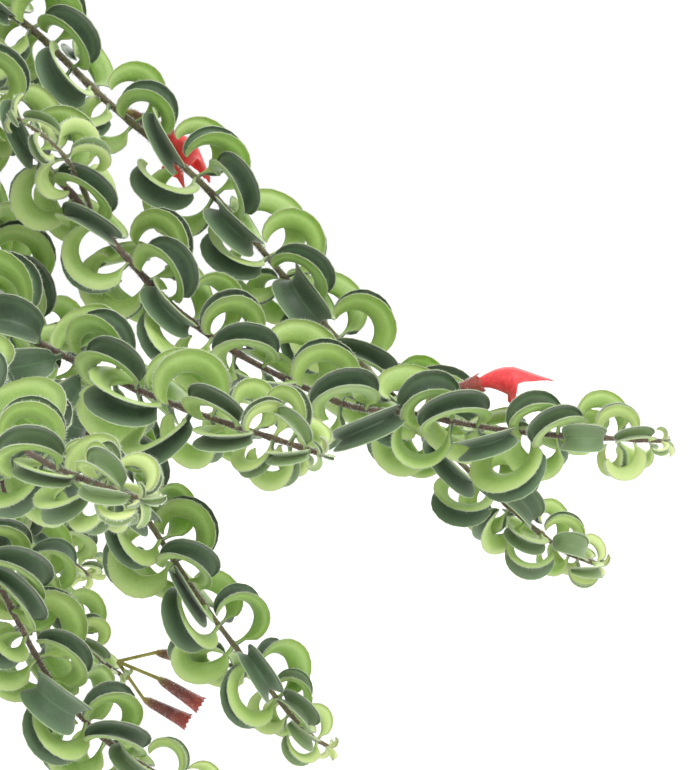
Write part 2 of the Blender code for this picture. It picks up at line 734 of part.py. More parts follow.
def make_leafy_stem(stem, shoots, collection):
    """A stem with its leaves and side shoots, joined as one body."""
    obj = stem_tube(stem, collection)
    pieces = bpy.data.collections.new(stem.name + "_pieces")
    bpy.context.scene.collection.children.link(pieces)
    grown = [(leaf, stem.coarse()) for leaf in stem.leaves]
    for shoot in shoots:
        stem_tube(shoot, pieces)
        grown += [(leaf, shoot.coarse()) for leaf in shoot.leaves]
    for i, (leaf, route) in enumerate(grown):
        corners, faces = leaf.solid()
        corners[-1] = nearest_on(route, leaf.root)
        mesh_object(f"{stem.name}_leaf_{i}", corners, faces, pieces)
    join_all(obj, pieces)
    return obj


def main():
    clear_scene()
    plant = new_collection("lipstick_plant")
    cutters = new_collection("cutters")
    green = material("leaf", (0.10, 0.22, 0.06), 0.45)
    clay = material("pot", (0.72, 0.70, 0.66), 0.55)
    earth = material("soil", (0.05, 0.035, 0.025), 0.95)
    maroon = material("calyx", (0.16, 0.03, 0.03), 0.5)
    red = material("corolla", (0.80, 0.05, 0.06), 0.5)
    stems = all_stems()
    blooms, clusters = all_blooms(stems)
    place_leaves(stems, bloom_blockers(blooms, clusters), 0, leading_leaves)
    made = [(make_pot(plant), clay), (make_soil(stems, plant, cutters), earth)]
    for name, calyx in blooms:
        made.append((make_calyx(name + "_calyx", calyx, plant), maroon))
        made.append((make_corolla(name + "_corolla", calyx, plant), red))
    for name, group in clusters:
        made.append((make_cluster(name, group, plant), maroon))
    for stem in stems:
        if not stem.parent:
            shoots = [s for s in stems if s.parent == stem.name]
            made.append((make_leafy_stem(stem, shoots, plant), green))
    for obj, finish in made:
        obj.data.materials.clear()
        obj.data.materials.append(finish)


main()
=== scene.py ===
"""The look of a potted curly-leaved lipstick plant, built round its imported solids, in metres, +Z up.

Stems, leaves and flowers follow the same named values and the same seeded rule as the solids, with
finer blades. The leaves that the solids leave out, the hairs and the crumbs of soil are added here.
"""

import json
import random
from itertools import pairwise
from math import atan2, cos, degrees, exp, hypot, pi, radians, sin, sqrt

import bmesh
import bpy
from mathutils import Matrix, Vector, noise
from mathutils.bvhtree import BVHTree

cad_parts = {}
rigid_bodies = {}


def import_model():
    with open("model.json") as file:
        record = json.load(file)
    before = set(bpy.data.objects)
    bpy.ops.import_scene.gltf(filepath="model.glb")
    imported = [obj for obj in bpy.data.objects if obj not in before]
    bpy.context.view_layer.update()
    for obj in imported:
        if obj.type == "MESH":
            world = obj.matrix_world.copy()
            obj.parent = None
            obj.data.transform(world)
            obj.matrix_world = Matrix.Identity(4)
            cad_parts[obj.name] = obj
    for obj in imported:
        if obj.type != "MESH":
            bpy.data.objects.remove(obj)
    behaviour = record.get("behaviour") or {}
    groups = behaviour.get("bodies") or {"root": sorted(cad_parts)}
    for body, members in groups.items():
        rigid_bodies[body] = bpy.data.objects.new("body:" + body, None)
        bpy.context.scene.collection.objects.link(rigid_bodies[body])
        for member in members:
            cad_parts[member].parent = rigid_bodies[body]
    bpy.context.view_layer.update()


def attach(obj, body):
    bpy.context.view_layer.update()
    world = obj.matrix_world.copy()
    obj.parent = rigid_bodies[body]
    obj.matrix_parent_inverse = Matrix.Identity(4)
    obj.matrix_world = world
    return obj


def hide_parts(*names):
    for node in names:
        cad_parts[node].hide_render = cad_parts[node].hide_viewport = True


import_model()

# The solids' own values, down to the clusters

SEED = 41

# Pot and soil
POT_HEIGHT = 0.320
POT_RIM_RADIUS = 0.078
POT_FOOT_RADIUS = 0.060
POT_WALL = 0.0055
POT_FLOOR = 0.010
RIM_BAND = 0.022
RIM_STEP = 0.003
POT_INNER_TOP = POT_RIM_RADIUS - POT_WALL - RIM_STEP
POT_INNER_FOOT = POT_FOOT_RADIUS - RIM_STEP - POT_WALL
SOIL_TOP = 0.302
SOIL_MOUND = 0.004
GAP = 0.0003

# Stems
STEM_ROOT_DEPTH = 0.030
STEM_RADIUS = 0.0017
STEM_TIP_RADIUS = 0.0009
STEM_ROOM = STEM_RADIUS + 0.0004
UPRIGHT_HEIGHT = 0.010
TUBE_STEP = 0.034
NODE_SPACING = 0.0212
TIP_SPACING = 0.0080
PATH_STEP = 0.002
CURVE_STEPS = 24
TUBE_SIDES = 6

# Leaves
LEAF_LENGTH = 0.039
LEAF_HALF_WIDTH = 0.0088
# The fold of a blade's halves in degrees: most are folded far up, and some are nearly open
LEAF_FOLDS = (64, 58, 66, 60, 32)
FOLD_SPREAD = 8
LEAF_THICKNESS = 0.0022
PETIOLE_SHARE = 0.12
SOURCE_STATIONS = (0.13, 0.37, 0.60, 0.82)
RIB_STEPS = 60
CURL_EASE = 1.25
LEAF_TRIES = 8
CLEARANCE = 0.0005
LEAF_POT_CLEARANCE = 0.003
LEAF_SOIL_CLEARANCE = 0.001
FLOOR_CLEARANCE = 0.004

# Flowers
CALYX_LENGTH = 0.021
CALYX_RADIUS = 0.0033
CALYX_WALL = 0.0008
PEDICEL_RADIUS = 0.0008
KNOB_RADIUS = 0.0016
COROLLA_BEND = 1.35
STALK_LENGTH = 0.0045
COROLLA_LENGTH = 0.047
COROLLA_THROAT = 0.032
COROLLA_ROOM = 0.0115
THROAT_RADIUS = 0.0054
CALYX_ROOM = CALYX_RADIUS + 0.0012
BLOOM_LIFT = 0.62
# Each calyx of a cluster: its base ahead of, aside from and above its root, and its tilt in degrees
CLUSTER_FAN = ((0.0160, -0.0030, 0.0035, -8), (0.0180, 0.0040, -0.0060, -32),
               (0.0110, 0.0000, -0.0160, -27))
# The corolla's outline at its mouth: angle from its top in degrees, reach ahead and flare, in metres
COROLLA_RIM = ((0, 0.0160, 0.0032), (35, 0.0140, 0.0040), (62, 0.0090, 0.0046), (92, 0.0020, 0.0078),
               (138, 0.0020, 0.0128), (160, 0.0070, 0.0078), (180, 0.0140, 0.0085))

# Each stem's route: points that it passes through, from the soil to the tip. The first is the hole.
STEMS = {
    "stem_01": ((0.026, 0.014), (0.034, 0.016, 0.345), (0.060, 0.020, 0.385), (0.107, 0.022, 0.371),
                (0.146, 0.022, 0.336), (0.188, 0.020, 0.299), (0.233, 0.016, 0.247),
                (0.281, 0.014, 0.198), (0.321, 0.018, 0.162), (0.341, 0.020, 0.152)),
    "stem_02": ((0.034, -0.014), (0.044, -0.018, 0.338), (0.066, -0.024, 0.361),
                (0.098, -0.028, 0.345), (0.133, -0.028, 0.307), (0.181, -0.030, 0.255),
                (0.234, -0.036, 0.226), (0.264, -0.040, 0.221), (0.304, -0.046, 0.215),
                (0.357, -0.056, 0.213)),
    "stem_03": ((0.018, -0.034), (0.026, -0.052, 0.336), (0.052, -0.090, 0.332),
                (0.088, -0.108, 0.292), (0.122, -0.120, 0.264), (0.175, -0.150, 0.242),
                (0.232, -0.182, 0.227)),
    "stem_04": ((0.042, 0.000), (0.060, 0.000, 0.331), (0.092, 0.001, 0.312), (0.114, 0.002, 0.252),
                (0.136, 0.006, 0.212), (0.159, 0.008, 0.177), (0.188, 0.014, 0.131),
                (0.221, 0.018, 0.088), (0.233, 0.020, 0.078)),
    "stem_05": ((0.022, -0.046), (0.030, -0.066, 0.327), (0.050, -0.098, 0.309),
                (0.078, -0.106, 0.250), (0.100, -0.098, 0.200), (0.117, -0.088, 0.164),
                (0.133, -0.076, 0.128), (0.156, -0.067, 0.100), (0.190, -0.064, 0.080)),
    "stem_06": ((0.038, 0.032), (0.055, 0.048, 0.328), (0.080, 0.072, 0.300), (0.088, 0.084, 0.236),
                (0.094, 0.086, 0.180), (0.106, 0.086, 0.136), (0.133, 0.085, 0.102),
                (0.145, 0.084, 0.092)),
    "stem_07": ((0.004, -0.040), (0.006, -0.056, 0.342), (0.022, -0.112, 0.340),
                (0.070, -0.160, 0.290), (0.120, -0.200, 0.247), (0.149, -0.235, 0.233),
                (0.181, -0.265, 0.226)),
}
# A young side shoot leaves this stem at this share of its length, through these offsets
SIDE_SHOOTS = {
    "stem_02": (0.475, ((-0.004, -0.010, 0.014), (-0.012, -0.018, 0.028), (-0.027, -0.024, 0.040))),
}
# The other stems: azimuth in degrees, hole radius, rise over the soil, reach and drop from the soil
RING_STEMS = (
    (58, 0.046, 0.040, 0.235, 0.190),
    (88, 0.030, 0.078, 0.270, 0.110),
    (114, 0.050, 0.034, 0.200, 0.215),
    (144, 0.032, 0.066, 0.290, 0.150),
    (174, 0.052, 0.032, 0.190, 0.225),
    (204, 0.030, 0.080, 0.290, 0.130),
    (236, 0.050, 0.036, 0.215, 0.200),
    (268, 0.032, 0.062, 0.250, 0.165),
    (40, 0.012, 0.098, 0.150, -0.030),
    (221, 0.012, 0.092, 0.160, -0.010),
)
# Beyond its arch, such a stem's shares of the way out, of the fall and of the sway
RING_ARC = ((0.14, 0.06, 0.25), (0.36, 0.34, 0.5), (0.62, 0.68, 0.8), (0.84, 0.91, 0.95))
# Blooms: stem, share of its length, and turn about the stem in degrees
BLOOMS = (("stem_02", 0.796, -20), ("stem_01", 0.470, -75), ("stem_09", 0.640, 60),
          ("stem_12", 0.620, 80))
CLUSTERS = (("stem_06", 0.985), ("stem_14", 0.985))

# Finer blades: rows along a leaf and columns across each half, near the camera and elsewhere
FINE_ROWS, FINE_COLUMNS = 18, 4
FAR_ROWS, FAR_COLUMNS = 14, 3
PHOTO_STEMS = tuple(STEMS)
# The petiole's rows, as shares of its length. It has no hairs.
PETIOLE_STATIONS = (0.0, 0.5, 0.9)
# Half of a leaf's thickness at the blade, the petiole and the margin
BLADE_HALF = 0.00065
PETIOLE_HALF = 0.0009
MARGIN_HALF = 0.00022
# How straight the blade's halves leave the midrib, how deep the groove over it is, and how narrow
TROUGH = 0.30
GROOVE_DEPTH, GROOVE_SHARPNESS = 0.45, 7
MARGIN_WAVE, WAVE_RATE = 0.035, 9
HAIR_LENGTH = 0.0010
HAIR_WIDTH = 0.00022
LEAF_HAIRS = 70
STEM_HAIRS_PER_METRE = 10000
# A stem's swelling at its nodes: its share of the radius, and how far it reaches along the stem
NODE_SWELLING, SWELLING_REACH = 0.30, 0.0024
SHOOT_SCALE = 0.62
STEM_SIDES = 8
# Young leaves at a stem's tip: how many, the size of the first two, and rows along each
BUD_LEAVES, BUD_SIZE, BUD_ROWS = 4, 0.17, 8
BUD_STEP, BUD_GROWTH = 0.0012, 0.07
GREEN_STEMS = ("stem_01", "stem_04", "stem_10", "stem_12", "stem_15")
FULL_TURN = 6.283

# Finer flowers: places along a calyx, and its radius there as a share of CALYX_RADIUS
CALYX_PROFILE = ((0.0, 0.28), (0.05, 0.42), (0.14, 0.60), (0.30, 0.70), (0.45, 0.78), (0.60, 0.84),
                 (0.75, 0.92), (0.88, 1.01), (0.96, 1.08))
CALYX_INSIDE = ((0.94, 1.06), (0.75, 0.94), (0.45, 0.80), (0.22, 0.64))
MOUTH_WIDTH = 1.16
CALYX_TURNS = 20
CALYX_LOBES = 5
LOBE_LENGTH = 0.0016
CALYX_HAIRS = 420
COROLLA_TURNS = 40
PETAL_WALL = 0.0006
# The corolla's radius at shares of the way from the calyx's mouth to the throat
COROLLA_NECK = ((0, 0.0020), (0.25, 0.0028), (0.5, 0.0038), (0.75, 0.0047), (1, THROAT_RADIUS))
RUFFLE, RUFFLES = 0.05, 11

# Finer soil
SOIL_RINGS = 40
SOIL_TURNS = 120
CRUMBS = 420
CRUMB_SIZE, CRUMB_SPREAD = 0.0005, 0.0018
ROUGHNESS_SCALE, ROUGHNESS_HEIGHT = 130, 0.0012
SOIL_MARGIN = 0.0004

# Finer pot
POT_TURNS = 128
RIM_SLOPE = 0.0015
EDGE_ROUNDING, EDGE_STEPS = 0.0018, 4

# Camera: where it looks, how far off it stands, and how far down it looks
FOCUS = Vector((0.2412, -0.030, 0.2306))
CAMERA_DISTANCE = 1.0
CAMERA_DOWN = 7.0
FRAME_HEIGHT = 0.289
SENSOR = 36.0

# Studio: the flat floor's radius, the radius of the wall that it curves up to, and the wall's height
FLOOR_FLAT = 5.0
FLOOR_REACH = 8.0
FLOOR_WALL = 5.0
FLOOR_TURNS = 96
SURROUND = 1.10
# Each light's place, what it points at, its side in metres and its watts
LIGHTS = {
    "key": ((1.1, -1.3, 1.9), (0.15, 0, 0.25), 1.4, 26),
    "back": ((0.4, 1.8, 1.5), (0.15, 0, 0.25), 1.6, 24),
    "fill": ((-1.6, -0.8, 0.9), (0.0, 0, 0.25), 1.4, 8),
}
UP = Vector((0, 0, 1))
BLACK, WHITE = (0, 0, 0, 1), (1, 1, 1, 1)


# Layout: where every stem and leaf goes


def clamp(value):
    return min(1.0, max(0.0, value))


def square_to(direction, line):
    return (direction - direction.dot(line) * line).normalized()


def smooth_path(points):
    """Points a step apart along a Catmull-Rom curve through the route's points."""
    route = [Vector(p) for p in points]
    route = [2 * route[0] - route[1], *route, 2 * route[-1] - route[-2]]
    dense = []
    for a, b, c, d in zip(route, route[1:], route[2:], route[3:]):
        for i in range(CURVE_STEPS):
            t = i / CURVE_STEPS
            dense.append(0.5 * (2 * b + (c - a) * t + (2 * a - 5 * b + 4 * c - d) * t ** 2
                                + (3 * b - 3 * c + d - a) * t ** 3))
    dense.append(route[-2])
    lengths = [0.0]
    for a, b in pairwise(dense):
        lengths.append(lengths[-1] + (b - a).length)
    count = max(2, round(lengths[-1] / PATH_STEP))
    path, k = [], 0
    for i in range(count + 1):
        wanted = lengths[-1] * i / count
        while k < len(dense) - 2 and lengths[k + 1] < wanted:
            k += 1
        span = max(lengths[k + 1] - lengths[k], 1e-9)
        path.append(dense[k].lerp(dense[k + 1], (wanted - lengths[k]) / span))
    return path


def ring_route(azimuth, hole, rise, reach, drop):
    """A stem that rises from its hole, arches over the rim and trails outwards."""
    turn = radians(azimuth)
    sway = 0.25 * sin(3 * turn)
    arch = max(hole + 0.030, POT_RIM_RADIUS * 0.9)
    profile = [(hole + 0.006, SOIL_TOP + 0.55 * rise, 0.0),
               (0.45 * hole + 0.55 * arch, SOIL_TOP + 0.97 * rise, 0.1)]
    profile += [(arch + out * (reach - arch), SOIL_TOP + rise - fall * (rise + drop), share)
                for out, fall, share in RING_ARC]
    route = [(hole * cos(turn), hole * sin(turn))]
    for radius, height, share in [*profile, (reach, SOIL_TOP - drop, 1.0)]:
        bearing = turn + sway * share
        route.append((radius * cos(bearing), radius * sin(bearing), height))
    return route


def stem_path(route):
    """The smooth path of a stem that stands upright in its hole."""
    x, y = route[0]
    upright = [(x, y, SOIL_TOP - STEM_ROOT_DEPTH), (x, y, SOIL_TOP + UPRIGHT_HEIGHT - 0.002),
               (x, y, SOIL_TOP + UPRIGHT_HEIGHT)]
    return smooth_path([*upright, *route[1:]])


def tangents(path):
    ends = [path[0], *path, path[-1]]
    return [(b - a).normalized() for a, b in zip(ends, ends[2:])]


def side_directions(path):
    """A direction square to the path at each point, carried along without twisting."""
    side = Vector((0, 1, 0))
    found = []
    for tangent in tangents(path):
        side = square_to(side, tangent)
        found.append(side)
    return found


def stem_radius(share):
    return STEM_RADIUS + (STEM_TIP_RADIUS - STEM_RADIUS) * share


class Stem:
    """A stem's path, and the leaves and blooms that it carries."""

    def __init__(self, name, path, start, vigour=1.0, parent=None):
        self.name, self.path, self.start = name, path, start
        self.vigour, self.parent = vigour, parent
        self.tangents, self.sides = tangents(path), side_directions(path)
        self.length = sum((b - a).length for a, b in pairwise(path))
        self.leaves = []

    def index(self, distance):
        return min(len(self.path) - 1, max(0, round(distance / self.length * (len(self.path) - 1))))

    def coarse(self):
        """The few points of the path that the faceted tube runs through."""
        count = max(4, round(self.length / TUBE_STEP))
        points = [self.path[round(i * (len(self.path) - 1) / count)] for i in range(count + 1)]
        if not self.parent:
            points[1] = self.path[self.index(STEM_ROOT_DEPTH + UPRIGHT_HEIGHT - 0.002)]
        return points

    def nodes(self):
        """(distance along, size of the leaves) for each pair of leaves, to the tip."""
        found, distance = [], self.start
        while distance < self.length - 0.003:
            left = self.length - distance
            size = self.vigour * min(1.0, 0.42 + left / 0.085)
            found.append((distance, size))
            distance += max(TIP_SPACING, NODE_SPACING * min(1.0, 0.38 + left / 0.110))
        return found


def all_stems():
    routes = dict(STEMS)
    for i, numbers in enumerate(RING_STEMS):
        routes[f"stem_{len(STEMS) + i + 1:02d}"] = ring_route(*numbers)
    stems = []
    for name, route in routes.items():
        stem = Stem(name, stem_path(route), STEM_ROOT_DEPTH + 0.022)
        stems.append(stem)
        if name in SIDE_SHOOTS:
            share, offsets = SIDE_SHOOTS[name]
            root = nearest_on(stem.coarse(), stem.path[stem.index(share * stem.length)])
            path = smooth_path([root, *(root + Vector(o) for o in offsets)])
            stems.append(Stem(name + "_shoot", path, 0.014, 0.80, parent=name))
    return stems


def blade_width(along):
    """Half-width of the blade as a share of the widest, from its base at 0 to its tip at 1."""
    return sin(pi * clamp(along) ** 0.85) ** 0.65


def nearest_on(line, point):
    """The nearest point of a line of straight runs to a point."""
    best = None
    for a, b in pairwise(line):
        along = b - a
        found = a + along * clamp((point - a).dot(along) / along.length_squared)
        if best is None or (found - point).length < (best - point).length:
            best = found
    return best


class Leaf:
    """A leaf rooted at a point of a stem. It heads outwards, then curls back towards the root."""

    def __init__(self, stem, distance, size, angle, draw, loosen):
        i = stem.index(distance)
        tangent, side = stem.tangents[i], stem.sides[i]
        spread = 14 + 30 * loosen
        around = Matrix.Rotation(radians(angle + draw.uniform(-spread, spread)), 3, tangent)
        outward = around @ side
        slant = radians(draw.uniform(8, 26))
        self.root = stem.path[i].copy()
        self.heading = (cos(slant) * outward + sin(slant) * tangent).normalized()
        twist = radians(draw.uniform(-1, 1) * (22 + 45 * loosen))
        self.up = Matrix.Rotation(twist, 3, self.heading) @ square_to(tangent, self.heading)
        self.axis = self.heading.cross(self.up)
        self.size = size * draw.uniform(0.92, 1.08) * (1 - 0.2 * loosen)
        young = min(1.0, size / 0.75)
        self.turn = radians(draw.uniform(210, 275) * (0.35 + 0.65 * young))
        self.fold = radians(draw.choice(LEAF_FOLDS) + draw.uniform(-FOLD_SPREAD, FOLD_SPREAD))
        self.lean = draw.uniform(-0.16, 0.16)
        self.length = LEAF_LENGTH * self.size * draw.uniform(0.94, 1.06)
        self.width = LEAF_HALF_WIDTH * self.size * draw.uniform(0.92, 1.08)

    def midrib(self, shares):
        """(point, outward normal) of the midrib at each share. It curls slowly, then evenly."""
        point, found, wanted = self.root.copy(), [], list(shares)
        for i in range(RIB_STEPS + 1):
            share = i / RIB_STEPS
            angle = self.turn * share ** CURL_EASE
            while wanted and wanted[0] <= share + 1e-9:
                normal = sin(angle) * self.heading + cos(angle) * self.up
                found.append((point + self.axis * (self.lean * self.length * share ** 2), normal))
                wanted.pop(0)
            ahead = self.turn * (share + 0.5 / RIB_STEPS) ** CURL_EASE
            step = cos(ahead) * self.heading - sin(ahead) * self.up
            point = point + step * (self.length / RIB_STEPS)
        return found

    def solid(self, rooted):
        """(corners, faces) of the plain blade with some room round it, and of its root if wanted.

        Each ring of corners is margin, top of the midrib, margin, underside. Then comes the tip.
        """
        shares = [PETIOLE_SHARE + (1 - PETIOLE_SHARE) * b for b in SOURCE_STATIONS]
        line = self.midrib([*shares, 1.0])
        half = LEAF_THICKNESS / 2 * (0.45 + 0.55 * min(1.0, self.size)) + CLEARANCE
        across = self.axis * cos(self.fold)
        corners, faces = [], []
        for along, (point, normal) in zip(SOURCE_STATIONS, line):
            reach = self.width * blade_width(along) + CLEARANCE
            wing = normal * (sin(self.fold) * reach)
            corners += [point + across * reach + wing, point + normal * half,
                        point - across * reach + wing, point - normal * half]
        last, tip = len(corners) - 4, len(corners)
        for near in range(0, last, 4):
            far = near + 4
            for margin, rib in ((0, 1), (2, 3)):
                faces += [(near + rib, near + margin, far + rib),
                          (near + margin, far + margin, far + rib)]
            for margin, rib in ((2, 1), (0, 3)):
                faces += [(near + margin, near + rib, far + rib),
                          (near + margin, far + rib, far + margin)]
        corners.append(line[-1][0])
        faces += [(last + (j + 1) % 4, last + j, tip) for j in range(4)]
        if rooted:
            corners.append(self.root)
            faces += [(j, (j + 1) % 4, tip + 1) for j in range(4)]
        return corners, faces


def tree(corners, faces):
    return BVHTree.FromPolygons([tuple(c) for c in corners], faces)


def tube_solid(path, radius):
    """(corners, faces) of a plain tube of this radius along a path."""
    corners, faces = [], []
    for point, tangent, side in zip(path, tangents(path), side_directions(path)):
        for i in range(TUBE_SIDES):
            turn = Matrix.Rotation(2 * pi * i / TUBE_SIDES, 3, tangent)
            corners.append(point + turn @ side * radius)
    for start in range(0, len(corners) - TUBE_SIDES, TUBE_SIDES):
        for i in range(TUBE_SIDES):
            a, b = start + i, start + (i + 1) % TUBE_SIDES
            faces.append((a, b, b + TUBE_SIDES, a + TUBE_SIDES))
    return corners, faces


def outer_radius(height):
    return POT_FOOT_RADIUS + (POT_RIM_RADIUS - POT_FOOT_RADIUS) * clamp(height / POT_HEIGHT)


def clear_of_pot(corners):
    for corner in corners:
        distance = hypot(corner.x, corner.y)
        if corner.z < FLOOR_CLEARANCE:
            return False
        if corner.z > POT_HEIGHT + LEAF_POT_CLEARANCE:
            continue
        outside = distance > outer_radius(corner.z) + LEAF_POT_CLEARANCE
        inside = (distance < POT_INNER_TOP - LEAF_POT_CLEARANCE
                  and corner.z > SOIL_TOP + SOIL_MOUND + LEAF_SOIL_CLEARANCE)
        if not (outside or inside):
            return False
    return True


class Calyx:
    """The line of one calyx: a thin stalk from the stem to its base, then the cup to its mouth."""

    def __init__(self, root, outward, base, heading):
        self.root, self.outward, self.base = root, outward, base
        self.heading = heading.normalized()
        self.mouth = base + self.heading * CALYX_LENGTH
        self.rise = square_to(UP, self.heading)


def stalk_root(stem, share, outward):
    """Where a stalk starts, a hair clear of the faceted stem."""
    on_stem = nearest_on(stem.coarse(), stem.path[stem.index(share * stem.length)])
    return on_stem + outward * (stem_radius(share) + 2 * GAP)


def all_blooms(stems):
    """(name, calyx) for each single bloom, and (name, calyces) for each cluster."""
    named = {s.name: s for s in stems}
    blooms, clusters = [], []
    for number, (name, share, turn) in enumerate(BLOOMS, 1):
        stem = named[name]
        tangent = stem.tangents[stem.index(share * stem.length)]
        outward = Matrix.Rotation(radians(turn), 3, tangent) @ square_to(UP, tangent)
        root = stalk_root(stem, share, outward)
        heading = (tangent + BLOOM_LIFT * outward).normalized()
        base = root + (outward + heading) * (0.6 * STALK_LENGTH)
        blooms.append((f"bloom_{number}", Calyx(root, outward, base, heading)))
    for number, (name, share) in enumerate(CLUSTERS, 1):
        stem = named[name]
        tangent = stem.tangents[-1]
        level = Vector((tangent.x, tangent.y, 0)).normalized()
        across = level.cross(UP)
        outward = square_to(level, tangent)
        knob = stalk_root(stem, share, outward) + outward * KNOB_RADIUS
        group = []
        for ahead, aside, lift, tilt in CLUSTER_FAN:
            away = level * ahead + across * aside + UP * lift
            heading = level * cos(radians(tilt)) + UP * sin(radians(tilt))
            group.append(Calyx(knob, away.normalized(), knob + away, heading))
        clusters.append((f"calyx_cluster_{number}", group))
    return blooms, clusters


def corolla_line(calyx, along):
    """(point, direction) on the corolla's axis: straight inside the calyx, then bending over."""
    bend = COROLLA_BEND * max(0.0, along - CALYX_LENGTH) / (COROLLA_LENGTH - CALYX_LENGTH)
    straight = calyx.base + calyx.heading * min(along, CALYX_LENGTH)
    over = max(0.0, along - CALYX_LENGTH)
    direction = cos(bend) * calyx.heading - sin(bend) * calyx.rise
    middle = cos(bend / 2) * calyx.heading - sin(bend / 2) * calyx.rise
    return straight + middle * over, direction


def bloom_blockers(blooms, clusters):
    """Plain tubes round the calyces and corollas, for the leaves to keep clear of."""
    found = []
    for _, calyx in blooms:
        throat, ahead = corolla_line(calyx, COROLLA_THROAT)
        reach = throat + ahead * (COROLLA_LENGTH - COROLLA_THROAT)
        found.append(tree(*tube_solid([calyx.mouth, throat, reach], COROLLA_ROOM)))
    for calyx in [c for _, c in blooms] + [c for _, group in clusters for c in group]:
        found.append(tree(*tube_solid([calyx.root, calyx.base, calyx.mouth], CALYX_ROOM)))
    return found


def leading_leaves(stem):
    """(distance, size, turn in degrees) for one leaf of each pair. Each pair is turned a quarter."""
    return [(distance, size, 90 * k) for k, (distance, size) in enumerate(stem.nodes())]


def place_leaves(stems, blockers, seed_shift, spots):
    """Puts a leaf on each of a stem's spots by the seeded rule."""
    tubes = {s.name: tree(*tube_solid(s.path[::4], STEM_ROOM)) for s in stems}
    facets = {s.name: tree(*tube_solid(s.coarse(), STEM_ROOM)) for s in stems}
    grown = {s.name: [leaf.tree for leaf in s.leaves] for s in stems}
    for number, stem in enumerate(stems):
        draw = random.Random(SEED + 100 * seed_shift + number)
        for distance, size, turn in spots(stem):
            leaf = fitting_leaf(stem, distance, size, turn, draw, (tubes, facets), grown, blockers)
            if leaf:
                stem.leaves.append(leaf)
                grown[stem.name].append(leaf.tree)


def fitting_leaf(stem, distance, size, angle, draw, tubes, grown, blockers):
    """The first draw of a leaf that crosses nothing, or None."""
    for attempt in range(LEAF_TRIES):
        leaf = Leaf(stem, distance, size, angle, draw, attempt / LEAF_TRIES)
        corners, faces = leaf.solid(rooted=False)
        if not clear_of_pot(corners):
            continue
        whole = tree(*leaf.solid(rooted=True))
        blade = tree(corners, faces)
        if any(blade.overlap(other) for other in blockers):
            continue
        if any(whole.overlap(tube) for shape in tubes for name, tube in shape.items()
               if name[:7] != stem.name[:7]):
            continue
        if blade.overlap(tubes[0][stem.name]) and attempt < LEAF_TRIES // 2:
            continue
        if any(blade.overlap(other) for name in grown for other in grown[name]):
            continue
        leaf.tree = whole
        return leaf
    return None


# Materials


def linear(*rgb):
    """The linear colour of an sRGB one given in 0 to 255."""
    shares = [c / 255 for c in rgb]
    return (*(c / 12.92 if c <= 0.04045 else ((c + 0.055) / 1.055) ** 2.4 for c in shares), 1.0)


class Shader:
    """A node material that is put together one node at a time."""

    def __init__(self, name, roughness, **settings):
        self.material = bpy.data.materials.new(name)
        self.material.use_nodes = True
        self.tree = self.material.node_tree
        self.surface = self.tree.nodes["Principled BSDF"]
        self.surface.inputs["Roughness"].default_value = roughness
        for key, value in settings.items():
            self.surface.inputs[key.replace("_", " ")].default_value = value

    def node(self, kind, **values):
        made = self.tree.nodes.new(kind)
        for key, value in values.items():
            if key in made.inputs:
                made.inputs[key].default_value = value
            else:
                setattr(made, key, value)
        return made

    def link(self, source, target):
        self.tree.links.new(source, target)

    def noise(self, scale, detail=3.0, roughness=0.5):
        found = self.node("ShaderNodeTexNoise", Scale=scale, Detail=detail, Roughness=roughness)
        self.link(self.node("ShaderNodeTexCoord").outputs["Object"], found.inputs["Vector"])
        return found.outputs["Fac"]

    def attribute(self, name):
        return self.node("ShaderNodeAttribute", attribute_name=name).outputs["Fac"]

    def ramp(self, source, *stops):
        """A colour ramp of (place, colour) stops."""
        made = self.node("ShaderNodeValToRGB")
        steps = made.color_ramp.elements
        while len(steps) < len(stops):
            steps.new(0.5)
        for step, (place, colour) in zip(steps, stops):
            step.position, step.color = place, colour
        self.link(source, made.inputs["Fac"])
        return made.outputs["Color"]

    def patches(self, scale, detail, roughness, low, high):
        """Noise that is black below one value and white above another."""
        return self.ramp(self.noise(scale, detail, roughness), (low, BLACK), (high, WHITE))

    def mix(self, share, a, b):
        """A share of b in a. Both are sockets or sRGB colours."""
        made = self.node("ShaderNodeMix", data_type="RGBA")
        first, second = (s for s in made.inputs if s.type == "RGBA")
        for source, socket in ((share, made.inputs[0]), (a, first), (b, second)):
            if isinstance(source, tuple):
                socket.default_value = linear(*source)
            elif isinstance(source, float):
                socket.default_value = source
            else:
                self.link(source, socket)
        return next(s for s in made.outputs if s.type == "RGBA")

    def colour(self, source):
        self.link(source, self.surface.inputs["Base Color"])

    def bump(self, height, strength, distance):
        made = self.node("ShaderNodeBump", Strength=strength, Distance=distance)
        self.link(height, made.inputs["Height"])
        self.link(made.outputs["Normal"], self.surface.inputs["Normal"])


def leaf_shader(name, deep, fair, rim, young, roughness, sheen, glow):
    """A leaf's face: deep to fair by leaf and by patch, paler at its margin, young near the tips."""
    s = Shader(name, roughness, Sheen_Weight=sheen, Sheen_Roughness=0.5,
               Sheen_Tint=linear(222, 230, 214), Subsurface_Weight=glow,
               Subsurface_Radius=(0.6, 1.0, 0.25), Subsurface_Scale=0.004)
    by_leaf = s.mix(s.attribute("tone"), deep, fair)
    by_patch = s.mix(s.patches(110.0, 3.0, 0.6, 0.32, 0.68), deep, fair)
    mottled = s.mix(s.patches(1100.0, 3.0, 0.7, 0.30, 0.72), deep, fair)
    shade = s.mix(0.28, s.mix(0.35, by_leaf, by_patch), mottled)
    edge = s.ramp(s.attribute("edge"), (0.0, (0.45, 0.45, 0.45, 1)), (0.07, BLACK), (0.55, BLACK),
                  (1.0, (0.75, 0.75, 0.75, 1)))
    s.colour(s.mix(s.attribute("youth"), s.mix(edge, shade, rim), young))
    s.bump(s.noise(1300.0, 3.0, 0.6), 0.35, 0.0003)
    return s


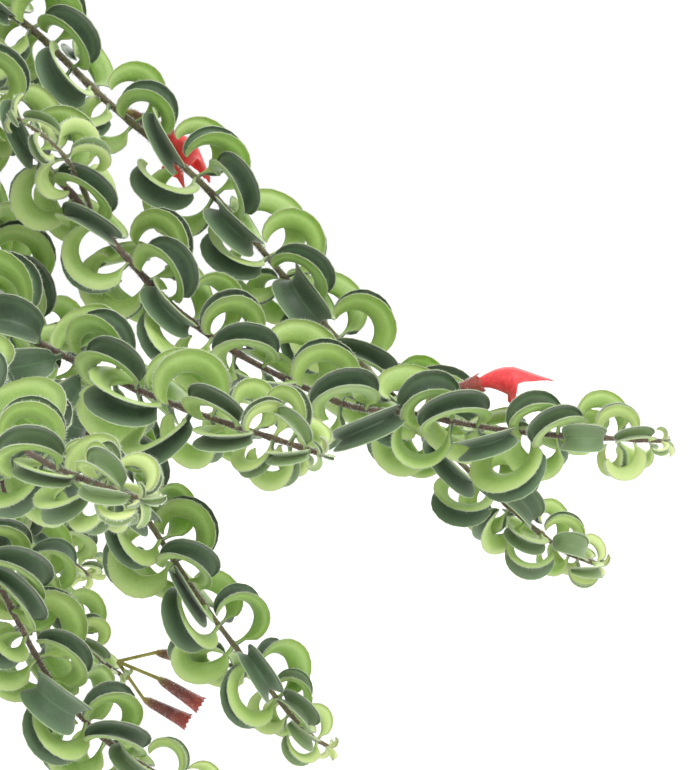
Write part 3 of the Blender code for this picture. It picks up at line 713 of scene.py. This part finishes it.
def make_materials():
    upper = leaf_shader("leaf_upper", (32, 52, 32), (78, 106, 70), (100, 128, 88), (140, 166, 98),
                        0.52, 0.45, 0.0)
    lower = leaf_shader("leaf_lower", (112, 146, 58), (168, 194, 108), (186, 206, 134),
                        (204, 217, 150), 0.46, 0.15, 0.30)
    margin = Shader("leaf_margin", 0.6, Sheen_Weight=0.3)
    margin.colour(margin.mix(margin.noise(900.0), (130, 152, 104), (190, 204, 164)))

    stem = Shader("stem_bark", 0.6, Sheen_Weight=0.35, Sheen_Roughness=0.5)
    patches = stem.patches(240.0, 4.0, 0.6, 0.36, 0.66)
    bark = stem.mix(patches, (62, 40, 38), (98, 76, 58))
    green = stem.mix(patches, (80, 70, 46), (112, 108, 64))
    stem.colour(stem.mix(stem.attribute("tone"), bark, green))
    stem.bump(stem.noise(1500.0), 0.4, 0.0002)
    hair = Shader("hair", 0.55)
    hair.colour(hair.mix(hair.noise(300.0), (196, 202, 180), (236, 236, 226)))

    calyx = Shader("calyx_skin", 0.48, Sheen_Weight=0.4, Sheen_Roughness=0.4)
    streaks = calyx.patches(260.0, 4.0, 0.6, 0.3, 0.7)
    body = calyx.mix(streaks, (80, 38, 37), (126, 66, 56))
    lobes = calyx.mix(streaks, (158, 48, 38), (204, 80, 58))
    stalk = calyx.mix(streaks, (122, 116, 44), (164, 156, 78))
    skin = calyx.mix(calyx.attribute("tone"), body, lobes)
    calyx.colour(calyx.mix(calyx.attribute("youth"), skin, stalk))
    calyx.bump(calyx.noise(1100.0), 0.3, 0.0003)
    petal = Shader("petal", 0.5, Sheen_Weight=0.5, Sheen_Roughness=0.5,
                   Sheen_Tint=linear(255, 190, 180), Subsurface_Weight=0.25,
                   Subsurface_Radius=(1.0, 0.25, 0.2), Subsurface_Scale=0.003)
    veins = petal.patches(420.0, 4.0, 0.6, 0.3, 0.7)
    petal.colour(petal.mix(veins, (206, 34, 44), (238, 74, 74)))
    petal.bump(petal.noise(1500.0), 0.35, 0.0003)

    pot = Shader("pot_clay", 0.42, Coat_Weight=0.15, Coat_Roughness=0.35)
    specks = pot.ramp(pot.noise(420.0, 3.0, 0.6), (0.30, WHITE), (0.36, BLACK))
    cloud = pot.mix(pot.noise(14.0, 5.0), (205, 200, 191), (226, 221, 212))
    pot.colour(pot.mix(specks, cloud, (176, 168, 156)))
    pot.bump(pot.noise(160.0, 5.0), 0.08, 0.0006)
    soil = Shader("potting_soil", 0.95)
    grains = soil.patches(520.0, 5.0, 0.7, 0.35, 0.7)
    soil.colour(soil.mix(grains, (38, 28, 22), (92, 70, 54)))
    soil.bump(soil.noise(700.0, 6.0, 0.7), 0.9, 0.0012)

    return {"upper": upper, "lower": lower, "margin": margin, "stem": stem, "hair": hair,
            "calyx": calyx, "petal": petal, "pot": pot, "soil": soil}


# Fine meshes


def put(name, data, place=(0, 0, 0), back=UP):
    """A new object in the scene, with its Z axis turned to point along back."""
    obj = bpy.data.objects.new(name, data)
    obj.location = place
    if back != UP:
        obj.rotation_mode = "QUATERNION"
        obj.rotation_quaternion = back.to_track_quat("Z", "Y")
    bpy.context.scene.collection.objects.link(obj)
    return obj


class Gather:
    """The corners and faces of one piece, with each face's material and each corner's tone."""

    def __init__(self, *slots):
        self.slots = slots
        self.corners, self.faces, self.kinds = [], [], []
        self.tones, self.youths, self.edges = [], [], []
        self.tone = self.youth = 0.0

    def add(self, point, edge=0.5):
        self.corners.append((point.x, point.y, point.z))
        self.tones.append(self.tone)
        self.youths.append(self.youth)
        self.edges.append(edge)
        return len(self.corners) - 1

    def face(self, kind, *corners):
        self.faces.append(corners)
        self.kinds.append(self.slots.index(kind))

    def bridge(self, kind, near, far, closed=False):
        """Quads between two rows of corners."""
        count = len(near)
        for j in range(count if closed else count - 1):
            k = (j + 1) % count
            self.face(kind, near[j], near[k], far[k], far[j])

    def skin(self, kind, rows):
        """Quads all round between each row of corners and the next."""
        for near, far in pairwise(rows):
            self.bridge(kind, near, far, closed=True)

    def hair(self, root, direction, across):
        half = across * (HAIR_WIDTH / 2)
        corners = [self.add(root - half), self.add(root + half), self.add(root + direction)]
        self.face("hair", *corners)

    def object(self, name, materials):
        mesh = bpy.data.meshes.new(name)
        mesh.from_pydata(self.corners, [], self.faces)
        for slot in self.slots:
            mesh.materials.append(materials[slot].material)
        mesh.polygons.foreach_set("material_index", self.kinds)
        mesh.shade_smooth()
        for attribute, values in (("tone", self.tones), ("youth", self.youths), ("edge", self.edges)):
            mesh.attributes.new(attribute, "FLOAT", "POINT").data.foreach_set("value", values)
        mesh.update()
        return put(name, mesh)


def finish(obj, node):
    """The piece moves with the body and stands in for one of its solids."""
    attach(obj, "root")
    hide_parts(node)


def added_leaves(stem):
    """(distance, size, turn in degrees) for the leaves that the solids leave out.

    They are the other one of each pair, and another pair halfway to the next, turned an eighth.
    """
    nodes = stem.nodes()
    spots = [(distance, size, 90 * k + 180) for k, (distance, size) in enumerate(nodes)]
    nexts = [distance for distance, _ in nodes[1:]] + [stem.length]
    for k, ((distance, size), after) in enumerate(zip(nodes, nexts)):
        spots += [((distance + after) / 2, size, 90 * k + 45 + 180 * side) for side in (0, 1)]
    return sorted(spots)


def bud_leaves(stem, draw):
    """Small young leaves round a stem's tip, half open and pointing ahead."""
    found = []
    for k in range(BUD_LEAVES):
        size = BUD_SIZE + BUD_GROWTH * (k // 2)
        leaf = Leaf(stem, stem.length - BUD_STEP * (k // 2 + 1), size, 90 * k + 25, draw, 0.0)
        leaf.heading = (leaf.heading + stem.tangents[-1] * draw.uniform(0.8, 2.0)).normalized()
        leaf.up = square_to(leaf.up, leaf.heading)
        leaf.axis = leaf.heading.cross(leaf.up)
        leaf.turn = radians(draw.uniform(70, 190))
        found.append(leaf)
    return found


def half_width(leaf, share, plump):
    """Half-width of the leaf at a share of its whole length, petiole included."""
    along = (share - PETIOLE_SHARE) / (1 - PETIOLE_SHARE)
    blade = leaf.width * blade_width(along) if along > 0 else 0.0
    stalk = PETIOLE_HALF * plump if share < 0.5 else 0.0002
    return max(blade, stalk)


def fine_leaf(gather, leaf, rows, columns, draw, hairs):
    """A curled blade with a rounded trough, separate upper and lower faces, and a hairy margin."""
    shares = [place * PETIOLE_SHARE for place in PETIOLE_STATIONS]
    for i in range(1, rows + 1):
        eased = 0.5 - 0.5 * cos(pi * i / rows)
        shares.append(PETIOLE_SHARE + (1 - PETIOLE_SHARE) * (0.25 * eased + 0.75 * i / rows))
    shares[-1] = 1.0
    rib = leaf.midrib(shares)
    gather.tone = draw.random()
    gather.youth = clamp((0.92 - leaf.size) / 0.62) ** 1.3 * 0.9
    plump = 0.5 + 0.5 * min(1.0, leaf.size)
    spans = [j / columns for j in range(-columns, columns + 1)]
    wave = draw.uniform(0, 6.28)
    uppers, lowers, edges = [], [], []
    for share, (point, normal) in zip(shares, rib):
        reach = half_width(leaf, share, plump)
        inset = clamp((share - 0.4 * PETIOLE_SHARE) / (1.2 * PETIOLE_SHARE))
        fold = leaf.fold * inset
        half = (PETIOLE_HALF * (1 - inset) * 0.9 + BLADE_HALF * inset) * plump
        half *= min(1.0, 0.35 + (1 - share) * 5)
        upper, lower = [], []
        for t in spans:
            a, sign = abs(t), (1 if t >= 0 else -1)
            out = cos(fold) * (a + TROUGH * a * (1 - a))
            lift = sin(fold) * (TROUGH * a + (1 - TROUGH) * a * a)
            lift += MARGIN_WAVE * a * a * sin(WAVE_RATE * share + wave + sign) * inset
            slope_out = cos(fold) * (1 + TROUGH * (1 - 2 * a))
            slope_lift = sin(fold) * (TROUGH + 2 * (1 - TROUGH) * a)
            size = hypot(slope_out, slope_lift)
            face_out, face_lift = -sign * slope_lift / size, slope_out / size
            centre = point + leaf.axis * (sign * out * reach) + normal * (lift * reach)
            groove = GROOVE_DEPTH * exp(-(a * GROOVE_SHARPNESS) ** 2) * inset
            away = leaf.axis * face_out + normal * face_lift
            round_off = sqrt(max(0.0, 1 - a ** 3))
            thick = MARGIN_HALF + (half - MARGIN_HALF) * round_off
            upper.append(gather.add(centre + away * (thick * (1 - groove)), a))
            lower.append(gather.add(centre - away * (thick * (1 + 0.25 * groove)), a))
            if a == 1:
                beyond = leaf.axis * (sign * slope_out / size) + normal * (slope_lift / size)
                edges.append((gather.add(centre + beyond * MARGIN_HALF), centre, beyond))
        uppers.append(upper)
        lowers.append(lower)
    for i in range(len(shares) - 1):
        gather.bridge("upper", uppers[i], uppers[i + 1])
        gather.bridge("lower", lowers[i][::-1], lowers[i + 1][::-1])
        for side, column in ((0, 0), (1, -1)):
            near, far = edges[2 * i + side][0], edges[2 * i + 2 + side][0]
            for row in (uppers, lowers):
                gather.face("margin", row[i][column], row[i + 1][column], far, near)
    for side in (0, 1):
        line = edges[side::2][len(PETIOLE_STATIONS):]
        for h in range(hairs):
            place = (h + draw.random()) / hairs * (len(line) - 1)
            k = min(len(line) - 2, int(place))
            root = line[k][1].lerp(line[k + 1][1], place - k)
            along = (line[k + 1][1] - line[k][1]).normalized()
            out = (line[k][2] + along * draw.uniform(-0.5, 0.5)
                   + line[k][2].cross(along) * draw.uniform(-0.5, 0.5)).normalized()
            gather.hair(root, out * (HAIR_LENGTH * draw.uniform(0.5, 1.2)), along)


def fine_stem(gather, stem, draw):
    """A smooth tapered stem, slightly swollen at its nodes, with short pale hairs."""
    swollen = [distance for distance, _ in stem.nodes()]
    scale = SHOOT_SCALE if stem.parent else 1.0
    rows = []
    count = len(stem.path) - 1
    for i, (point, tangent, side) in enumerate(zip(stem.path, stem.tangents, stem.sides)):
        share = i / count
        distance = share * stem.length
        near = min((abs(distance - d) for d in swollen), default=1.0)
        swelling = NODE_SWELLING * exp(-(near / SWELLING_REACH) ** 2)
        radius = stem_radius(share) * scale * (1 + swelling)
        row = []
        for j in range(STEM_SIDES):
            turn = Matrix.Rotation(2 * pi * j / STEM_SIDES, 3, tangent)
            row.append(gather.add(point + turn @ side * radius))
        rows.append(row)
    gather.skin("stem", rows)
    gather.face("stem", *rows[-1])
    first = 0 if stem.parent else stem.index(STEM_ROOT_DEPTH)
    for _ in range(int(STEM_HAIRS_PER_METRE * stem.length)):
        i = draw.randrange(first, count)
        out = Matrix.Rotation(draw.uniform(0, FULL_TURN), 3, stem.tangents[i]) @ stem.sides[i]
        start = stem.path[i].lerp(stem.path[i + 1], draw.random())
        start = start + out * (stem_radius(i / count) * scale * 0.95)
        lean = (out + stem.tangents[i] * draw.uniform(-0.4, 0.6)).normalized()
        gather.hair(start, lean * (HAIR_LENGTH * draw.uniform(0.6, 1.3)), stem.tangents[i])


def dress_stem(stem, shoots, materials):
    draw = random.Random(SEED + 7 * int(stem.name[5:7]))
    near = stem.name in PHOTO_STEMS
    rows, columns = (FINE_ROWS, FINE_COLUMNS) if near else (FAR_ROWS, FAR_COLUMNS)
    hairs = LEAF_HAIRS if near else LEAF_HAIRS // 2
    gather = Gather("upper", "lower", "margin", "stem", "hair")
    for line in [stem, *shoots]:
        gather.tone = 0.85 if stem.name in GREEN_STEMS or line.parent else 0.15
        gather.youth = 0.0
        fine_stem(gather, line, draw)
        for leaf in line.leaves:
            fine_leaf(gather, leaf, rows, columns, draw, hairs)
        for leaf in bud_leaves(line, draw):
            fine_leaf(gather, leaf, BUD_ROWS, 2, draw, hairs // 4)
    finish(gather.object("leafy_" + stem.name, materials), stem.name)


def loop(gather, centre, heading, rise, radius, turns, ahead=None):
    """A ring of corners round a centre. ahead says how far each one is pushed along the heading."""
    aside = heading.cross(rise)
    row = []
    for i in range(turns):
        a = 2 * pi * i / turns
        out = rise * cos(a) + aside * sin(a)
        push = heading * (ahead(a) if ahead else 0.0)
        row.append(gather.add(centre + out * (radius(a) if callable(radius) else radius) + push))
    return row


def fine_calyx(gather, calyx, draw):
    """A narrow downy cup with five pointed lobes, on its stalk."""
    heading, rise = calyx.heading, calyx.rise
    lobe = lambda a: LOBE_LENGTH * (abs((a * CALYX_LOBES / pi) % 2 - 1) - 0.5)
    root_rise = heading.rotation_difference(calyx.outward) @ rise

    def ring(share, radius, ahead=None):
        centre = calyx.base + heading * (CALYX_LENGTH * share)
        return loop(gather, centre, heading, rise, radius, CALYX_TURNS, ahead)

    gather.tone, gather.youth = 0.0, 1.0
    outer = [loop(gather, calyx.root, calyx.outward, root_rise, PEDICEL_RADIUS, CALYX_TURNS)]
    for share in (0.25, 0.5, 0.75):
        bend = share * share * (3 - 2 * share)
        centre = calyx.root.lerp(calyx.base, share)
        direction = calyx.outward.lerp(heading, bend).normalized()
        outer.append(loop(gather, centre, direction, square_to(root_rise.lerp(rise, bend), direction),
                          PEDICEL_RADIUS, CALYX_TURNS))
    for share, width in CALYX_PROFILE:
        gather.tone, gather.youth = max(0.0, share - 0.55) * 1.3, max(0.0, 1 - share / 0.18)
        outer.append(ring(share, CALYX_RADIUS * width))
    gather.tone = 0.8
    outer.append(ring(1.0, CALYX_RADIUS * MOUTH_WIDTH, lobe))
    inner = [ring(1.0, CALYX_RADIUS * MOUTH_WIDTH - CALYX_WALL / 2, lobe)]
    gather.tone = 0.3
    inner += [ring(share, CALYX_RADIUS * width - CALYX_WALL * 0.8) for share, width in CALYX_INSIDE]
    gather.skin("calyx", [*outer, *inner])
    gather.face("calyx", *inner[-1])
    aside = heading.cross(rise)
    for _ in range(CALYX_HAIRS):
        share, a = draw.uniform(0.0, 0.98), draw.uniform(0, FULL_TURN)
        out = rise * cos(a) + aside * sin(a)
        width = 0.40 + 0.20 * min(1.0, share / 0.14) + 0.45 * share
        start = calyx.base + heading * (CALYX_LENGTH * share) + out * (CALYX_RADIUS * width * 0.98)
        lean = (out + heading * draw.uniform(0.0, 0.8)).normalized()
        gather.hair(start, lean * (HAIR_LENGTH * draw.uniform(0.5, 1.0)), heading)


def rim_values(a):
    """(reach ahead, flare) of the corolla's mouth at an angle from its top, eased along the table."""
    angle = abs((degrees(a) + 180) % 360 - 180)
    for (t0, a0, f0), (t1, a1, f1) in pairwise(COROLLA_RIM):
        if angle <= t1:
            k = (angle - t0) / (t1 - t0)
            k = k * k * (3 - 2 * k)
            return a0 + (a1 - a0) * k, f0 + (f1 - f0) * k
    return COROLLA_RIM[-1][1:]


def fine_corolla(gather, calyx):
    """A curved trumpet: a forward hood of two lobes, two side lobes and a lower one."""
    aside = calyx.heading.cross(calyx.rise)
    profile = [(0.22 * CALYX_LENGTH + GAP, 0.0010), (0.6 * CALYX_LENGTH, 0.0016)]
    profile += [(CALYX_LENGTH * (1 - share) + COROLLA_THROAT * share, radius)
                for share, radius in COROLLA_NECK]

    def ring(along, radius, ahead=None):
        point, heading = corolla_line(calyx, along)
        return loop(gather, point, heading, aside.cross(heading), radius, COROLLA_TURNS, ahead)

    def lip(share, thin):
        """A ring of the mouth, at a share of its way out, and this far inside the petals' face."""

        def edge(a):
            reach, flare = rim_values(a)
            slope = atan2(flare - THROAT_RADIUS, reach)
            wide = THROAT_RADIUS + (flare - THROAT_RADIUS) * share ** 1.2
            wide *= 1 + RUFFLE * sin(RUFFLES * a) * share
            return wide - thin * cos(slope), reach * share + thin * sin(slope)

        return ring(COROLLA_THROAT, lambda a: edge(a)[0], lambda a: edge(a)[1])

    outer = [ring(along, radius) for along, radius in profile]
    outer += [lip(share, 0.0) for share in (0.2, 0.4, 0.6, 0.8, 0.93, 1.0)]
    inner = [lip(1.0, PETAL_WALL / 2)]
    inner += [lip(share, PETAL_WALL) for share in (0.9, 0.7, 0.45, 0.2)]
    inner += [ring(along, radius - PETAL_WALL) for along, radius in profile[:2:-1]]
    gather.skin("petal", [*outer, *inner])
    gather.face("petal", *outer[0][::-1])
    gather.face("petal", *inner[-1])


def dress_calyces(node, calyces, seed, materials):
    draw = random.Random(seed)
    gather = Gather("calyx", "hair")
    for calyx in calyces:
        fine_calyx(gather, calyx, draw)
    finish(gather.object("fine_" + node, materials), node)


def dress_blooms(blooms, clusters, materials):
    for name, calyx in blooms:
        dress_calyces(name + "_calyx", [calyx], SEED + int(name[-1]), materials)
        gather = Gather("petal")
        fine_corolla(gather, calyx)
        finish(gather.object("fine_" + name + "_corolla", materials), name + "_corolla")
    for name, calyces in clusters:
        dress_calyces(name, calyces, SEED + 50 + int(name[-1]), materials)


# Pot, soil and studio


def turned(name, profile, turns, shader):
    """A surface turned about Z from a profile of (radius, height) points."""
    gather = Gather("turned")
    rows = [loop(gather, UP * z, UP, Vector((1, 0, 0)), r, turns) if r > 0
            else [gather.add(UP * z)] * turns for r, z in profile]
    for near, far in pairwise(rows):
        for j in range(turns):
            k = (j + 1) % turns
            gather.face("turned", *dict.fromkeys((far[j], far[k], near[k], near[j])))
    return gather.object(name, {"turned": shader})


def rounded(corners):
    """The corner points of a profile, each replaced by a short curve."""
    smooth = [corners[0]]
    for a, b, c in zip(corners, corners[1:], corners[2:]):
        a, b, c = Vector(a), Vector(b), Vector(c)
        start = b + (a - b).normalized() * min(EDGE_ROUNDING, (a - b).length / 2)
        end = b + (c - b).normalized() * min(EDGE_ROUNDING, (c - b).length / 2)
        for i in range(EDGE_STEPS + 1):
            t = i / EDGE_STEPS
            smooth.append(tuple((1 - t) ** 2 * start + 2 * t * (1 - t) * b + t * t * end))
    return [*smooth, corners[-1]]


def dress_pot(materials):
    body = outer_radius(POT_HEIGHT - RIM_BAND) - RIM_STEP
    profile = [(0, POT_FLOOR), (POT_INNER_FOOT, POT_FLOOR), (POT_INNER_TOP, POT_HEIGHT),
               (POT_RIM_RADIUS, POT_HEIGHT), (POT_RIM_RADIUS, POT_HEIGHT - RIM_BAND),
               (body, POT_HEIGHT - RIM_BAND - RIM_SLOPE), (POT_FOOT_RADIUS - RIM_STEP, 0), (0, 0)]
    obj = turned("fine_pot", rounded(profile), POT_TURNS, materials["pot"])
    obj.data.flip_normals()
    finish(obj, "pot")


def on_soil(radius, turn, lift=0.0):
    """A point on the soil's rough face, which lies a little under the plain solid's, or over it."""
    x, y = radius * cos(turn), radius * sin(turn)
    mound = SOIL_MOUND * (1 - hypot(x, y) / POT_INNER_TOP)
    rough = noise.fractal(Vector((x, y, 0)) * ROUGHNESS_SCALE, 0.6, 2.0, 4) * ROUGHNESS_HEIGHT
    return Vector((x, y, SOIL_TOP + mound + rough - ROUGHNESS_HEIGHT / 2 + lift))


def dress_soil(materials):
    """The soil's body with a rough top, and loose crumbs on it."""
    draw = random.Random(SEED)
    gather = Gather("soil")
    rise = (SOIL_TOP - POT_FLOOR) / (POT_HEIGHT - POT_FLOOR)
    edge = POT_INNER_FOOT + (POT_INNER_TOP - POT_INNER_FOOT) * rise - SOIL_MARGIN
    rows = [[gather.add(on_soil(edge * i / SOIL_RINGS, 2 * pi * j / SOIL_TURNS))
             for j in range(SOIL_TURNS)] for i in range(1, SOIL_RINGS + 1)]
    rows.append(loop(gather, UP * (POT_FLOOR + 0.001), UP, Vector((1, 0, 0)),
                     POT_INNER_FOOT - SOIL_MARGIN, SOIL_TURNS))
    gather.skin("soil", rows[::-1])
    gather.face("soil", *rows[0])
    gather.face("soil", *rows[-1][::-1])
    crumb = bmesh.new()
    bmesh.ops.create_icosphere(crumb, subdivisions=1, radius=1.0)
    shape = [v.co.copy() for v in crumb.verts]
    faces = [[v.index for v in f.verts] for f in crumb.faces]
    crumb.free()
    for _ in range(CRUMBS):
        radius, turn = (edge - 0.003) * sqrt(draw.random()), draw.uniform(0, FULL_TURN)
        size = CRUMB_SIZE + CRUMB_SPREAD * draw.random() ** 2.5
        spin = Matrix.Rotation(draw.uniform(0, 6.28), 3, Vector((draw.random(), draw.random(), 1)))
        squeeze = Vector((1, draw.uniform(0.6, 1), draw.uniform(0.5, 0.9)))
        centre = on_soil(radius, turn, 0.2 * size)
        corners = [gather.add(spin @ (corner * squeeze) * (size * draw.uniform(0.8, 1.15)) + centre)
                   for corner in shape]
        for f in faces:
            gather.face("soil", *(corners[i] for i in f))
    finish(gather.object("fine_soil", materials), "soil")


def make_studio():
    """A white floor that curves up all round, soft lights and an even bright surround."""
    floor = Shader("studio_white", 0.9, Specular_IOR_Level=0.1, Base_Color=linear(251, 251, 252))
    curve = [(FLOOR_FLAT + (FLOOR_REACH - FLOOR_FLAT) * sin(radians(a)),
              FLOOR_WALL * (1 - cos(radians(a)))) for a in range(0, 91, 10)]
    turned("studio_floor", [(0, 0), (1.5, 0), *curve], FLOOR_TURNS, floor)
    world = bpy.data.worlds.new("surround")
    world.use_nodes = True
    surround = world.node_tree.nodes["Background"]
    surround.inputs["Color"].default_value = linear(253, 253, 254)
    surround.inputs["Strength"].default_value = SURROUND
    bpy.context.scene.world = world
    bpy.context.scene.view_settings.view_transform = "Standard"
    for name, (place, aim, size, watts) in LIGHTS.items():
        light = bpy.data.lights.new(name, "AREA")
        light.shape, light.size, light.energy = "SQUARE", size, watts
        put(name, light, place, Vector(place) - Vector(aim))


def make_camera():
    down = radians(CAMERA_DOWN)
    back = Vector((0, -cos(down), sin(down)))
    data = bpy.data.cameras.new("camera")
    data.sensor_width = SENSOR
    data.lens = SENSOR * CAMERA_DISTANCE / FRAME_HEIGHT
    data.clip_start, data.clip_end = 0.05, 60
    bpy.context.scene.camera = put("camera", data, FOCUS + back * CAMERA_DISTANCE, back)


def main():
    make_camera()
    make_studio()
    materials = make_materials()
    stems = all_stems()
    blooms, clusters = all_blooms(stems)
    blockers = bloom_blockers(blooms, clusters)
    place_leaves(stems, blockers, 0, leading_leaves)
    place_leaves(stems, blockers, 1, added_leaves)
    for stem in stems:
        if not stem.parent:
            dress_stem(stem, [shoot for shoot in stems if shoot.parent == stem.name], materials)
    dress_blooms(blooms, clusters, materials)
    dress_pot(materials)
    dress_soil(materials)


main()
